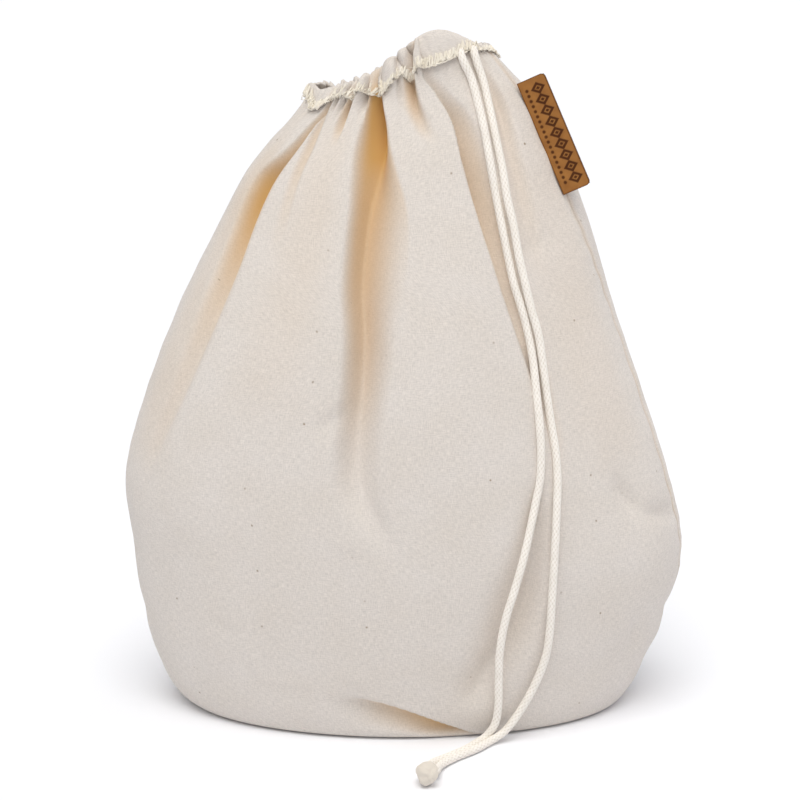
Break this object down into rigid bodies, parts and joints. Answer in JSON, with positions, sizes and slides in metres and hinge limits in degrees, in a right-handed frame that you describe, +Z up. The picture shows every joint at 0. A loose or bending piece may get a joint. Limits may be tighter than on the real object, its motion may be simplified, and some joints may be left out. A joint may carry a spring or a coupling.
{
  "type": "nut milk bag",
  "caption": "Gathered cotton drawstring bag standing filled out on its flattened bottom, with knotted free cord ends and a leather side label, for straining nut milk.",
  "frame": {"origin": "on the surface the bag stands on, under the middle of the bag, on the flat underside of the front panel", "axes": "+Z up along the height of the bag, +X to the right of the front, -Y out of the front, where the cords hang"},
  "size_m": [0.2153, 0.1431, 0.2635],
  "materials": {
    "cotton_cloth": "matte plain weave",
    "cotton_cord": "matte braid",
    "label_leather": "smooth satin"
  },
  "bodies": {
    "root": {"front_panel": "cotton_cloth", "back_panel": "cotton_cloth", "drawstring_left": "cotton_cord", "drawstring_right": "cotton_cord", "drawstring_knot": "cotton_cord", "side_label": "label_leather"}
  },
  "joints": []
}
